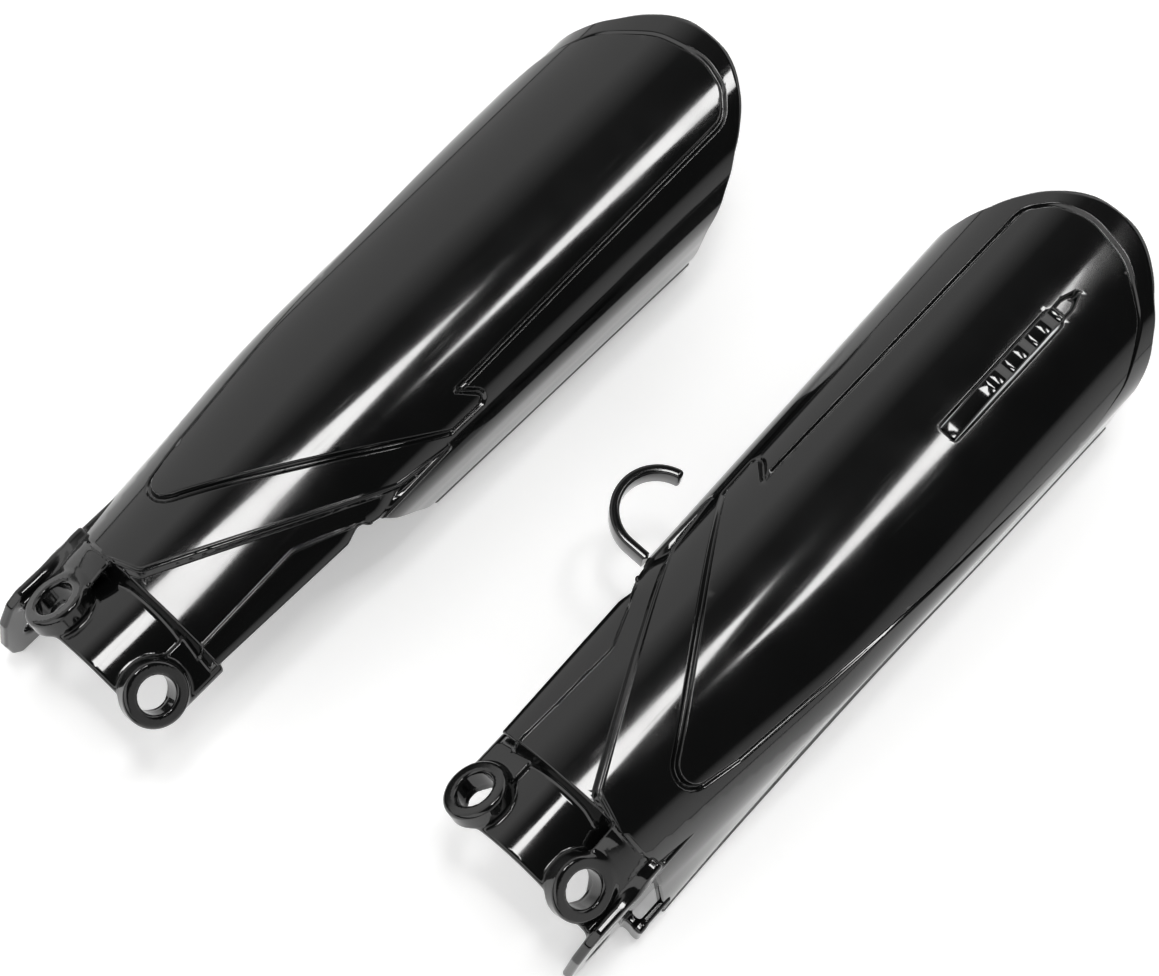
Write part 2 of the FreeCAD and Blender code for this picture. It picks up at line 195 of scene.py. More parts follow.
# What is cut away, seen from the side as (along, height): beneath the wing, and past the rounded
# end on the long side and on the wing side.
NOTCH = rounded_outline([
    (-60, -60, 0), (-60, 46.8, 0), (78.5, 46.8, 1.5), (84, 49.5, 3), (92, 47, 5),
    (105, 29, 12), (117, 7, 8), (127, -8, 0), (127, -60, 0),
])
BEYOND = [(297.9, 120, 0), (420, 120, 0), (420, -60, 0)]
LONG_END = rounded_outline([
    (261.5, -60, 0), (261.5, 40, 14), (273, 54, 20), (282, 60.2, 20), (290.5, 63.4, 20),
    (297.8, 65.8, 0), *BEYOND,
])
WING_END = rounded_outline([
    (252, -60, 0), (252, 36, 14), (262.5, 49, 20), (272, 55.8, 20), (281.5, 60, 20),
    (290.5, 63.4, 20), (297.8, 65.8, 0), *BEYOND,
])
# The clip tongue's slot, and the hollow its tip points into, seen from above.
SLOT = rounded_outline([(-15.4, 192, 1), (-8.6, 192, 1), (-8.6, 251.4, 3.2), (-15.4, 251.4, 3.2)])
RECESS = rounded_outline([
    (-15.2, 246, 1), (-8.8, 246, 1), (-8.6, 257, 3), (-12, 267, 1), (-15.4, 257, 3),
])


def crease_drop(turn, along, point):
    """The long flank is a little hollow below a crease that fades out up the leg."""
    crease = mix(*CREASE_HEIGHT, (along - BODY_START) / (CREASE_END - BODY_START))
    below = np.clip((crease - point[:, 2]) / CREASE_SPAN, 0, 1)
    fade = 1 - smooth((along - CREASE_FADE[0]) / (CREASE_FADE[1] - CREASE_FADE[0]))
    return np.where(turn > 0.5, CREASE_DEPTH * 2 * below * (1 - below) * fade, 0.0)


class Fields:
    """The distances that shape the skin at a set of (turn, along) places."""

    def __init__(self, places, with_slot):
        self.turn, self.along, self.with_slot = places[:, 0], places[:, 1], with_slot
        self.point = skin_point(self.turn, self.along)
        self.kept = {}

    def away(self, name, outline):
        """Distance, along the skin, to an outline drawn on it."""
        if "flat" not in self.kept:
            self.kept["flat"] = np.stack([unroll(self.turn, self.along), self.along], 1)
        if name not in self.kept:
            self.kept[name] = distance(self.kept["flat"], outline)
        return self.kept[name]

    def fade(self, foot, reach):
        """Rises from 0 to 1 over a height above the foot."""
        return smooth((self.point[:, 2] - foot) / reach)

    def panel(self):
        return self.away("panel", PANEL)

    def plate(self):
        return self.away("plate", PLATE)

    def band(self):
        return self.away("band", OUTER_BAND)

    def on_top(self, outline):
        """Distance to an outline that is seen from above."""
        upper = self.point[:, 2] > SHOULDER
        return np.where(upper, distance(self.point[:, :2], outline), OUTSIDE)

    def recess(self):
        return self.on_top(RECESS)

    def lip(self):
        """Height above the lip that runs along the foot."""
        return self.point[:, 2] - LIP_HEIGHT

    def notch(self):
        """Distance to what is cut away beneath the wing."""
        if "notch" not in self.kept:
            away = distance(self.point[:, 1:], NOTCH)
            self.kept["notch"] = np.where(self.turn < 0.5, away, OUTSIDE)
        return self.kept["notch"]

    def edge(self):
        """Distance to the skin's nearest free edge."""
        if "edge" not in self.kept:
            side = self.point[:, 1:]
            end = np.where(self.turn < 0.5, distance(side, WING_END), distance(side, LONG_END))
            end = end * mix(1.0, END_SLANT, self.fade(END_SLANT_FOOT, END_SLANT_FADE))
            ear_root = smooth((EAR_ROOT_ACROSS - self.point[:, 0]) / EAR_ROOT_WIDTH)
            ear_root = ear_root * self.fade(EAR_ROOT_FOOT, EAR_ROOT_FADE)
            front = self.along - BODY_START + 2 * EDGE_ROUND * ear_root
            edge = np.minimum(np.minimum(self.notch(), front), end)
            edge = np.minimum(edge, self.point[:, 2])
            if self.with_slot:
                edge = np.minimum(edge, self.on_top(SLOT))
            self.kept["edge"] = edge
        return self.kept["edge"]

    def drop(self):
        """How far the finished surface lies below the bare skin."""
        level = self.fade(RELIEF_FOOT, RELIEF_FADE)
        panel = (PANEL_DROP + PANEL_GROOVE) * smooth(self.panel() / PANEL_STEP)
        panel = (panel - PANEL_GROOVE * smooth(self.panel() / PANEL_STEP - 1)) * level
        raised = PLATE_LIP * smooth(1 - np.abs(self.plate() / PLATE_LIP_REACH - 1))
        low = smooth(-self.plate() / PLATE_STEP)
        band = BAND_DROP * smooth(-self.band() / BAND_STEP)
        band = band - RIB_RISE * smooth(1 - np.abs(self.band()) / RIB_REACH) * low
        wing = WING_RISE * smooth(1 - self.notch() / WING_REACH) * low
        lip = LIP_DROP * smooth(self.lip() / LIP_STEP) * (1 - self.fade(RELIEF_FOOT, LIP_FADE))
        crease = crease_drop(self.turn, self.along, self.point)
        drop = np.maximum(panel + PLATE_DROP * low + band - wing, 0) + lip + crease - raised * level
        if self.with_slot:
            drop = drop + RECESS_DEPTH * smooth(-self.recess() / RECESS_STEP)
        return drop

    def rounding(self):
        """The extra drop that rounds the outer edges."""
        share = np.clip(1 - self.edge() / EDGE_ROUND, 0, 1)
        return EDGE_ROUND * (1 - np.sqrt(np.maximum(1 - share**2, 0)))


# the distances at which the skin's triangles are cut, so that each step has points of its own
LEVELS = {
    "edge": (0.0, 0.12, 0.4, 0.75, 1.1),
    "panel": (0.0, 0.45, 0.85, 1.25, 1.7, 2.15, 2.55, 2.95, 3.4),
    "plate": (-2.0, -1.45, -0.55, 0.0, 0.4, 0.8, 1.2, 1.6),
    "band": (-1.3, -0.9, -0.45, 0.0, 0.45, 0.9),
    "lip": (0.0, 0.4, 0.8),
}
SLOT_LEVELS = {"recess": (-1.6, -0.8, 0.0)}
SNAP = 0.06  # a corner nearer than this to a cut counts as on it
TURN_COLUMNS, ALONG_ROWS = 97, 141
# the small steps that slopes are taken over, on the bare skin and on the finished one
GRID_STEP = 1e-3
TURN_STEP, ALONG_STEP = 1e-5, 2e-3


def split_at(places, faces, values):
    """Cut triangles where values pass through zero; near-zero corners count as on the cut."""
    sign = np.where(values > SNAP, 1, np.where(values < -SNAP, -1, 0))
    edges = np.sort(faces[:, [0, 1, 1, 2, 2, 0]].reshape(-1, 2), 1)
    crossing = sign[edges[:, 0]] * sign[edges[:, 1]] < 0
    pairs, index = np.unique(edges[crossing], axis=0, return_inverse=True)
    if not len(pairs):
        return places, faces
    low, high = values[pairs[:, 0]], values[pairs[:, 1]]
    share = (low / (low - high))[:, None]
    added = places[pairs[:, 0]] * (1 - share) + places[pairs[:, 1]] * share
    new = np.full(len(edges), -1)
    new[crossing] = index.ravel() + len(places)
    new = new.reshape(-1, 3)
    count = (new >= 0).sum(1)
    result = [faces[count == 0]]
    for turn in range(3):
        order = [turn, (turn + 1) % 3, (turn + 2) % 3]
        corner, cut = faces[:, order], new[:, order]
        one = (count == 1) & (cut[:, 1] >= 0)
        a, b, c = corner[one].T
        m = cut[one][:, 1]
        result += [np.stack([a, b, m], 1), np.stack([a, m, c], 1)]
        two = (count == 2) & (cut[:, 1] < 0)
        a, b, c = corner[two].T
        m, n = cut[two][:, 0], cut[two][:, 2]
        result += [np.stack([a, m, n], 1), np.stack([m, b, c], 1), np.stack([m, c, n], 1)]
    return np.concatenate([places, added]), np.concatenate(result)


def skin_grid():
    """The plain grid of (turn, along) places and its triangles, before it is cut."""
    turns = np.linspace(0, 1, TURN_COLUMNS)
    rows = np.linspace(BODY_START, BODY_END, ALONG_ROWS)
    places = np.stack([grid.ravel() for grid in np.meshgrid(turns, rows)], 1)
    first = np.arange(ALONG_ROWS - 1)[:, None] * TURN_COLUMNS + np.arange(TURN_COLUMNS - 1)[None, :]
    a = first.ravel()
    b, c, d = a + 1, a + TURN_COLUMNS + 1, a + TURN_COLUMNS
    return places, np.concatenate([np.stack([a, c, b], 1), np.stack([a, d, c], 1)])


def finished(places, with_slot, rounded=True, below=0.0):
    """The finished surface, or one that lies a distance below it."""
    fields = Fields(places, with_slot)
    drop = fields.drop() + below + (fields.rounding() if rounded else 0)
    return fields.point - drop[:, None] * skin_normal(places)


def skin_normal(places):
    turn, along = places[:, 0], places[:, 1]
    across = skin_point(turn + GRID_STEP, along) - skin_point(turn - GRID_STEP, along)
    up = skin_point(turn, along + GRID_STEP) - skin_point(turn, along - GRID_STEP)
    return unit(np.cross(up, across))


def unit(vectors):
    return vectors / np.maximum(np.linalg.norm(vectors, axis=-1, keepdims=True), TINY)


def surface_normal(places, **options):
    """The normal of the finished surface, from small steps along it."""
    across, up = (
        finished(places + step, **options) - finished(places - step, **options)
        for step in (np.array([TURN_STEP, 0]), np.array([0, ALONG_STEP]))
    )
    return unit(np.cross(up, across))


def guard_skin(with_slot):
    """The shell as points, faces and a normal for each face corner."""
    places, faces = skin_grid()
    for name, levels in (LEVELS | SLOT_LEVELS if with_slot else LEVELS).items():
        for level in levels:
            values = getattr(Fields(places, with_slot), name)() - level
            places, faces = split_at(places, faces, values)
            if name == "edge" and level == 0.0:
                kept = Fields(places, with_slot).edge()
                faces = faces[kept[faces].mean(1) > 0]
                used, faces = np.unique(faces, return_inverse=True)
                places, faces = places[used], faces.reshape(-1, 3)
    outer = finished(places, with_slot)
    inner = finished(places, with_slot, rounded=False, below=WALL)
    outer_normal = surface_normal(places, with_slot=with_slot)
    inner_normal = -surface_normal(places, with_slot=with_slot, rounded=False, below=WALL)
    count = len(places)
    edges = faces[:, [0, 1, 1, 2, 2, 0]].reshape(-1, 2)
    keys = np.sort(edges, 1)
    _, inverse, uses = np.unique(keys, axis=0, return_inverse=True, return_counts=True)
    rim = edges[uses[inverse.ravel()] == 1]
    points = np.concatenate([outer, inner])
    walls = np.concatenate([
        np.stack([rim[:, 1], rim[:, 0], rim[:, 0] + count], 1),
        np.stack([rim[:, 1], rim[:, 0] + count, rim[:, 1] + count], 1),
    ])
    a, b, c = (points[walls[:, corner]] for corner in range(3))
    wall_normal = np.zeros_like(points)
    for corner in range(3):
        np.add.at(wall_normal, walls[:, corner], np.cross(b - a, c - a))
    wall_normal = unit(wall_normal)
    on_rim = np.unique(rim)
    outer_normal[on_rim] = wall_normal[on_rim]
    all_faces = np.concatenate([faces, faces[:, ::-1] + count, walls])
    corner_normals = np.concatenate([
        outer_normal[faces].reshape(-1, 3), inner_normal[faces[:, ::-1]].reshape(-1, 3),
        wall_normal[walls].reshape(-1, 3),
    ])
    return points, all_faces, corner_normals


# ---------------------------------------------------------------- the lug end, as a blended solid

LUG_CELL = 0.8
LUG_LOW, LUG_HIGH = (-48.0, -22.0, -2.0), (36.0, 66.0, 62.0)
FLOOR_GAP = 0.05
# how the grid is sampled, and how its points are drawn onto the true surface
BATCHES, GRADIENT_STEP, DRAW_STEPS, DRAW_LIMIT, LEAST_SLOPE = 12, 0.12, 3, 0.3, 0.3

# Pairs are spans in millimetres. A ROUND is an edge's rounding and a FILLET that of a joint; an
# EASE scales a slanted face's distance back to about its true length.
ROUND, SMALL_ROUND, BOSS_ROUND, SILL_ROUND = 1.2, 1.0, 1.5, 0.9
FILLET, NECK_FILLET, EAR_FILLET, SILL_FILLET = 2.0, 1.6, 2.4, 1.5
LUG_AXIS, SADDLE_RADIUS, SADDLE_WALL = 19.0, 32.0, 3.2
SADDLE_ALONG, SADDLE_FOOT = (-8.2, 23.5), 37.5
STEP_ACROSS, STEP_BACK, STEP_FOOT = (-31, 28), 23.4, 36
STEP_INSET, STEP_FRONT, STEP_SLOPE, STEP_REACH, STEP_EASE = 1.0, 0.3, 0.35, 2.6, 0.8
EAR_ACROSS, EAR_HEIGHT, EAR_LEAN = 22.3, 47.0, math.radians(38)
BOSS_RADIUS, BOSS_BACK, BOSS_FRONT, EAR_HOLE, EAR_BORE = 11.3, 4.5, 2.5, 6.5, (-16, 16)
WEB_TOP, WEB_SLOPE, WEB_WALL, WEB_LOWEST, WEB_EASE = 45.2, 0.62, 3.4, 37.8, 0.8
WEB_ACROSS, WEB_ALONG = (-36.6, -17), (-8.0, 23.4)
WEB_SKIN, WEB_SKIN_INSET = (-32, 0), 0.25
WEB_RISE_START, WEB_RISE_REACH, WEB_RISE_SHARE = -1, 22, 0.96
NECK_ACROSS, NECK_ALONG, NECK_EASE = (16, 30.5), (-2, 22), 0.85
SIDE_HOLE, SIDE_BORE = (-5.0, 14.0, 5.5), (-42, -28)
SIDE_WALL_X = (-37.0, -33.5)
SIDE_WALL = rounded_outline([
    (-11, 39, 3), (-16, 30, 3), (-19, 15, 4), (-18, 5, 4), (-15, 0, 1), (62, 0, 1), (62, 42, 1),
    (-6, 42, 3),
])
SILL_LOW, SILL_HIGH, CHEEK_HIGH = (-44.0, 8, FLOOR_GAP), (-33.6, 11.4, 13), (-41.0, 24, 13)

# the line of the skin's front edge, which the step behind the ears meets
FRONT_COUNT, FRONT_INSET = 90, 1.6
FRONT_TURNS = np.linspace(1 - FLANK_SHARE, FLANK_SHARE, FRONT_COUNT)
FRONT_PLACES = np.stack([FRONT_TURNS, np.full(FRONT_COUNT, BODY_START + FRONT_INSET)], 1)
FRONT_EDGE = finished(FRONT_PLACES, False, rounded=False)
FRONT_ACROSS, FRONT_HEIGHT = FRONT_EDGE[:, 0], FRONT_EDGE[:, 2]


def skin_height(across):
    """Height of the finished skin at its front edge."""
    return np.interp(across, FRONT_ACROSS, FRONT_HEIGHT)


def box_distance(p, low, high, radius):
    low, high = np.array(low) + radius, np.array(high) - radius
    away = np.abs(p - (low + high) / 2) - (high - low) / 2
    return np.linalg.norm(np.maximum(away, 0), axis=-1) + np.minimum(away.max(-1), 0) - radius


def blend(a, b, radius):
    """Union of two distances with a fillet of about this radius."""
    share = np.clip(0.5 + 0.5 * (b - a) / radius, 0, 1)
    return mix(b, a, share) - radius * share * (1 - share)


def carve(a, b, radius):
    return -blend(-a, b, radius)


def slab_of(p, start, end):
    return np.abs(p - (start + end) / 2) - (end - start) / 2


def round_meet(a, b, radius):
    """Intersection of two distances with a rounded edge."""
    away = np.stack([a + radius, b + radius], -1)
    return np.linalg.norm(np.maximum(away, 0), axis=-1) + np.minimum(away.max(-1), 0) - radius


def saddle_distance(x, y, z, around, clear):
    """The half-round saddle, with the step up from it to the skin."""
    ring = slab_of(around, SADDLE_RADIUS - SADDLE_WALL, SADDLE_RADIUS)
    saddle = round_meet(ring, slab_of(y, *SADDLE_ALONG), ROUND)
    saddle = round_meet(saddle, SADDLE_FOOT - z, SMALL_ROUND)
    top = skin_height(x)
    lean = np.clip((top - STEP_INSET - z) * STEP_SLOPE, 0, STEP_REACH)
    front = BODY_START + STEP_FRONT - lean
    step = np.maximum((z - top + STEP_INSET) * STEP_EASE, np.maximum(front - y, y - STEP_BACK))
    step = np.maximum(np.maximum(step, STEP_FOOT - z), clear)
    return blend(saddle, np.maximum(step, slab_of(x, *STEP_ACROSS)), FILLET)


def web_distance(x, y, z, clear):
    """The web from the long side's ear to the skin, rising as it goes back."""
    low_top = np.maximum(WEB_TOP + WEB_SLOPE * (x + EAR_ACROSS), WEB_LOWEST)
    high_top = skin_height(np.clip(x, *WEB_SKIN)) - WEB_SKIN_INSET
    rise = smooth((y - WEB_RISE_START) / WEB_RISE_REACH) * WEB_RISE_SHARE
    top = mix(low_top, high_top, rise)
    web = round_meet(slab_of(z - top, -WEB_WALL, 0.0) * WEB_EASE, slab_of(x, *WEB_ACROSS), ROUND)
    return np.maximum(round_meet(web, slab_of(y, *WEB_ALONG), ROUND), clear)


def neck_distance(x, y, z, clear):
    """The neck from the wing side's ear to the skin."""
    top = WEB_TOP - WEB_SLOPE * (x - EAR_ACROSS)
    neck = round_meet(slab_of(z - top, -WEB_WALL, 0.0) * NECK_EASE, slab_of(x, *NECK_ACROSS), ROUND)
    return np.maximum(round_meet(neck, slab_of(y, *NECK_ALONG), ROUND), clear)


def lug_distance(p):
    """Distance to the saddle, ears, side ear and mouth sill; negative inside."""
    x, y, z = p[:, 0], p[:, 1], p[:, 2]
    around = np.hypot(x, z - LUG_AXIS)
    clear = SADDLE_RADIUS - SADDLE_WALL - around
    body = saddle_distance(x, y, z, around, clear)
    body = blend(body, web_distance(x, y, z, clear), FILLET)
    body = blend(body, neck_distance(x, y, z, clear), NECK_FILLET)
    wall = round_meet(distance(p[:, 1:], SIDE_WALL), slab_of(x, *SIDE_WALL_X), SMALL_ROUND)
    body = blend(body, wall, EAR_FILLET)
    holes = np.full(len(p), OUTSIDE)
    for side in (1, -1):
        axis = np.array([side * math.sin(EAR_LEAN), 0, math.cos(EAR_LEAN)])
        offset = p - np.array([side * EAR_ACROSS, 0, EAR_HEIGHT])
        height = offset @ axis
        reach = np.linalg.norm(offset - height[:, None] * axis, axis=1)
        boss = round_meet(reach - BOSS_RADIUS, slab_of(height, -BOSS_BACK, BOSS_FRONT), BOSS_ROUND)
        body = blend(body, boss, EAR_FILLET)
        holes = np.minimum(holes, np.maximum(reach - EAR_HOLE, slab_of(height, *EAR_BORE)))
    side_hole = np.hypot(y - SIDE_HOLE[0], z - SIDE_HOLE[1]) - SIDE_HOLE[2]
    holes = np.minimum(holes, np.maximum(side_hole, slab_of(x, *SIDE_BORE)))
    body = carve(body, holes, ROUND)
    sill = box_distance(p, SILL_LOW, SILL_HIGH, SILL_ROUND)
    cheek = box_distance(p, SILL_LOW, CHEEK_HIGH, SILL_ROUND)
    body = blend(body, blend(sill, cheek, SILL_FILLET), SILL_FILLET)
    return np.maximum(body, FLOOR_GAP - z)


def lug_end():
    """The lug end meshed from its distance, with points and normals drawn onto the true surface."""
    low, high = np.array(LUG_LOW), np.array(LUG_HIGH)
    shape = np.ceil((high - low) / LUG_CELL).astype(int) + 1
    axes = [low[i] + np.arange(shape[i]) * LUG_CELL for i in range(3)]
    sample = np.stack(np.meshgrid(*axes, indexing="ij"), -1).reshape(-1, 3)
    values = np.concatenate([lug_distance(part) for part in np.array_split(sample, BATCHES)])
    reach = 3 * LUG_CELL  # the grid holds distances only near the surface
    grid = openvdb.FloatGrid(reach)
    grid.copyFromArray(np.clip(values, -reach, reach).reshape(shape).astype(np.float32))
    points, quads = grid.convertToQuads(0.0)
    points = points.astype(float) * LUG_CELL + low
    for _ in range(DRAW_STEPS):
        value, slope = lug_distance(points), gradient(points)
        size = np.maximum((slope**2).sum(1), LEAST_SLOPE)
        points -= np.clip(value / size, -DRAW_LIMIT, DRAW_LIMIT)[:, None] * slope
    normal = unit(gradient(points))
    faces = np.concatenate([quads[:, [0, 1, 2]], quads[:, [0, 2, 3]]]).astype(int)
    return points, faces, normal[faces].reshape(-1, 3)


def gradient(points):
    steps = GRADIENT_STEP * np.eye(3)
    changes = [lug_distance(points + step) - lug_distance(points - step) for step in steps]
    return np.stack(changes, 1) / (2 * GRADIENT_STEP)


# ---------------------------------------------------------------- hook and tongue

HOOK_CENTRE, HOOK_RADIUS, HOOK_WALL = (43.0, 111.5), 15.0, 3.4
HOOK_TOP, HOOK_DEPTH, HOOK_ROOT, HOOK_END = 46.0, 9.0, 35.6, math.radians(80)
HOOK_CORNER, HOOK_TIP, HOOK_STRAIGHT_STEPS, HOOK_ARC_STEPS = 0.9, 1.2, 6, 60
TONGUE_ALONG, TONGUE_ACROSS, TONGUE_STEPS = (192.4, 251.0), -12.0, 110
TONGUE_WIDTH, TONGUE_WALL, TONGUE_CORNER, TONGUE_TIP = 6.2, 2.4, 0.7, 2.0
# the tongue starts sunk in its slot, climbs over the first share of its length, and then waves
TONGUE_SINK, TONGUE_LIFT, TONGUE_RAMP, TONGUE_WAVE, TONGUE_WAVES = 2.8, 5.0, 0.36, 0.72, 3
TINIEST_RING, STRIP_CORNER_STEPS = 0.02, 4
UP = (0, 0, 1)


def swept(route, outline, tip_round):
    """A closed strip along a route, with its outline upright; it shrinks at the tip to round it."""
    route = np.array(route, float)
    ahead = unit(np.gradient(route, axis=0))
    sides = unit(np.cross(ahead, UP))
    ups = np.cross(sides, ahead)
    length = np.concatenate([[0], np.cumsum(np.linalg.norm(np.diff(route, axis=0), axis=1))])
    half = np.abs(outline).max(0)
    rings = []
    for index in range(len(route)):
        shrink = 1 - min((length[-1] - length[index]) / tip_round, 1)
        inset = tip_round * (1 - math.sqrt(1 - shrink**2))
        shaped = outline * np.maximum((half - inset) / half, TINIEST_RING)
        rings.append(route[index] + shaped[:, :1] * sides[index] + shaped[:, 1:] * ups[index])
    points = np.concatenate(rings)
    size, faces = len(outline), []
    for ring in range(len(route) - 1):
        for k in range(size):
            a, b = ring * size + k, ring * size + (k + 1) % size
            faces.append((a, b, b + size, a + size))
    faces.append(tuple(reversed(range(size))))
    faces.append(tuple(range(len(points) - size, len(points))))
    return points, faces


def strip_outline(wide, thick, radius):
    """A rounded rectangle about the middle."""
    corners = ((1, -1), (1, 1), (-1, 1), (-1, -1))
    corners = [(x * wide / 2, y * thick / 2, radius) for x, y in corners]
    return rounded_outline(corners, STRIP_CORNER_STEPS)


def eased_steps(count):
    """Shares from 0 to 1 that crowd towards both ends."""
    return [0.5 - 0.5 * math.cos(math.pi * step / count) for step in range(count + 1)]


def hook_shape():
    """The brake hose's hook: a short straight root, then an open arc."""
    middle = HOOK_TOP - HOOK_DEPTH / 2
    across, along = HOOK_CENTRE
    route = []
    for step in range(HOOK_STRAIGHT_STEPS):
        share = step / HOOK_STRAIGHT_STEPS
        route.append((mix(HOOK_ROOT, across, share), along - HOOK_RADIUS, middle))
    for share in eased_steps(HOOK_ARC_STEPS):
        angle = mix(-math.pi / 2, HOOK_END, share)
        spot = (across + HOOK_RADIUS * math.cos(angle), along + HOOK_RADIUS * math.sin(angle))
        route.append((*spot, middle))
    return swept(route, strip_outline(HOOK_WALL, HOOK_DEPTH, HOOK_CORNER), HOOK_TIP)


def tongue_shape():
    """The springy clip: a ramp, then a back with three waves."""
    route = []
    for share in eased_steps(TONGUE_STEPS):
        along = mix(*TONGUE_ALONG, share)
        crown = mix(*CROWN, (along - BODY_START) / (BODY_END - BODY_START))
        ramp = TONGUE_LIFT * smooth(share / TONGUE_RAMP)
        past = max(share - TONGUE_RAMP, 0) / (1 - TONGUE_RAMP)
        wave = TONGUE_WAVE * math.sin(2 * math.pi * TONGUE_WAVES * past)
        route.append((TONGUE_ACROSS, along, crown - TONGUE_SINK + ramp + wave + TONGUE_WALL / 2))
    return swept(route, strip_outline(TONGUE_WIDTH, TONGUE_WALL, TONGUE_CORNER), TONGUE_TIP)


# ---------------------------------------------------------------- material, pieces, scene


PLASTIC_IOR, COAT_WEIGHT, COAT_ROUGHNESS = 1.52, 0.25, 0.04
DEEP_BLACK, WORN_BLACK = (0.0024, 0.0025, 0.0026, 1), (0.0046, 0.0048, 0.0048, 1)
# Each noise is (scale, detail, stretch); each spread is (from, to, roughness at from, and at to).
MOTTLE, MOTTLE_SPREAD = (38, 4), (0.35, 0.7, 0.07, 0.12)
WIPING, WIPING_SPREAD = (60, 3, (9, 0.5, 9)), (0.6, 0.75, 0.0, 0.05)
DUST, DUST_SPREAD = (1400, 2), (0.74, 0.8, 0.0, 0.18)
RIPPLE, RIPPLE_STRENGTH, RIPPLE_HEIGHT = (26, 2), 0.06, 0.0004


def gloss_plastic():
    """Gloss-black moulded plastic with a faint flow mottle, hairline wiping marks and dust."""
    material = bpy.data.materials.new("gloss_plastic")
    material.use_nodes = True
    nodes, links = material.node_tree.nodes, material.node_tree.links
    shader = nodes["Principled BSDF"]
    shader.inputs["IOR"].default_value = PLASTIC_IOR
    shader.inputs["Coat Weight"].default_value = COAT_WEIGHT
    shader.inputs["Coat Roughness"].default_value = COAT_ROUGHNESS
    place = nodes.new("ShaderNodeTexCoord")

    def noise(scale, detail, stretch=(1, 1, 1)):
        mapping = nodes.new("ShaderNodeMapping")
        mapping.inputs["Scale"].default_value = stretch
        texture = nodes.new("ShaderNodeTexNoise")
        texture.inputs["Scale"].default_value = scale
        texture.inputs["Detail"].default_value = detail
        links.new(place.outputs["Object"], mapping.inputs["Vector"])
        links.new(mapping.outputs["Vector"], texture.inputs["Vector"])
        return texture.outputs["Fac"]

    def ramp(value, low, high, start, end):
        spread = nodes.new("ShaderNodeMapRange")
        limits = {"From Min": low, "From Max": high, "To Min": start, "To Max": end}
        for name, number in limits.items():
            spread.inputs[name].default_value = number
        links.new(value, spread.inputs["Value"])
        return spread.outputs["Result"]

    def add(first, second):
        node = nodes.new("ShaderNodeMath")
        node.operation = "ADD"
        links.new(first, node.inputs[0])
        links.new(second, node.inputs[1])
        return node.outputs["Value"]

    mottle, wiping, dust = noise(*MOTTLE), noise(*WIPING), noise(*DUST)
    roughness = add(ramp(mottle, *MOTTLE_SPREAD), ramp(wiping, *WIPING_SPREAD))
    links.new(add(roughness, ramp(dust, *DUST_SPREAD)), shader.inputs["Roughness"])
    tint = nodes.new("ShaderNodeMix")
    tint.data_type = "RGBA"
    tint.inputs["A"].default_value = DEEP_BLACK
    tint.inputs["B"].default_value = WORN_BLACK
    links.new(mottle, tint.inputs["Factor"])
    links.new(tint.outputs["Result"], shader.inputs["Base Color"])
    bump = nodes.new("ShaderNodeBump")
    bump.inputs["Strength"].default_value = RIPPLE_STRENGTH
    bump.inputs["Distance"].default_value = RIPPLE_HEIGHT
    links.new(noise(*RIPPLE), bump.inputs["Height"])
    links.new(bump.outputs["Normal"], shader.inputs["Normal"])
    return material


SHARP_ANGLE = math.radians(50)


def mesh_piece(name, chunks, material, placed, mirrored):
    """One object from chunks of points, faces and, where known, corner normals."""
    points, faces, normals, base = [], [], [], 0
    for chunk_points, chunk_faces, chunk_normals in chunks:
        points.append(chunk_points)
        faces += [tuple(int(corner) + base for corner in face) for face in chunk_faces]
        normals.append(chunk_normals)
        base += len(chunk_points)
    flip = np.array([-1 if mirrored else 1, 1, 1])
    points = np.concatenate(points) * flip
    if mirrored:
        faces = [face[::-1] for face in faces]
    mesh = bpy.data.meshes.new(name)
    mesh.from_pydata((points * MM + placed).tolist(), [], faces)
    mesh.polygons.foreach_set("use_smooth", [True] * len(mesh.polygons))
    if normals[0] is not None:
        corners = np.concatenate(normals) * flip
        if mirrored:
            corners = corners.reshape(-1, 3, 3)[:, ::-1].reshape(-1, 3)
        mesh.normals_split_custom_set(corners.tolist())
    else:
        mesh.set_sharp_from_angle(angle=SHARP_ANGLE)
    mesh.materials.append(material)
    piece = bpy.data.objects.new(name, mesh)
    bpy.context.scene.collection.objects.link(piece)
    return piece


def guard_origin(node, mirrored, points):
    """Where a guard's own origin lies, from the box of its CAD node."""
    low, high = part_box(node)
    middle = (points[:, 0].min() + points[:, 0].max()) / 2 * MM
    across = (low.x + high.x) / 2 + (middle if mirrored else -middle)
    return np.array([across, high.y - CROWN_END * MM, low.z])


LIGHT_COLOUR, PAPER_COLOUR, WHITE = (1, 0.995, 0.99, 1), (0.94, 0.94, 0.94, 1), (1, 1, 1, 1)
PAPER_ROUGHNESS, PAPER_GLOW, ROOM_GLOW, FLOOR_REACH = 0.9, 0.35, 0.03, 5
PANEL_HEIGHT, PANEL_GLOW, FILL_GLOW = 6.0, 17, 1.5
# Outlines of the bright panels and of the fills, as slopes away from the vertical (across, along).
BRIGHT_PANELS = (
    [(0.0, 0.53), (0.175, 0.47), (0.11, 0.24), (0.09, 0.24)],
    [(-0.12, 0.29), (-0.02, 0.14), (0.07, 0.1), (0.07, 0.03), (-0.25, 0.03), (-0.2, 0.13)],
)
FRONT_FILL = [(-2.5, -0.6), (2.5, -0.6), (2.5, -2.6), (-2.5, -2.6)]
BACK_FILL = [(-2.5, 1.1), (2.5, 1.1), (2.5, 3.0), (-2.5, 3.0)]
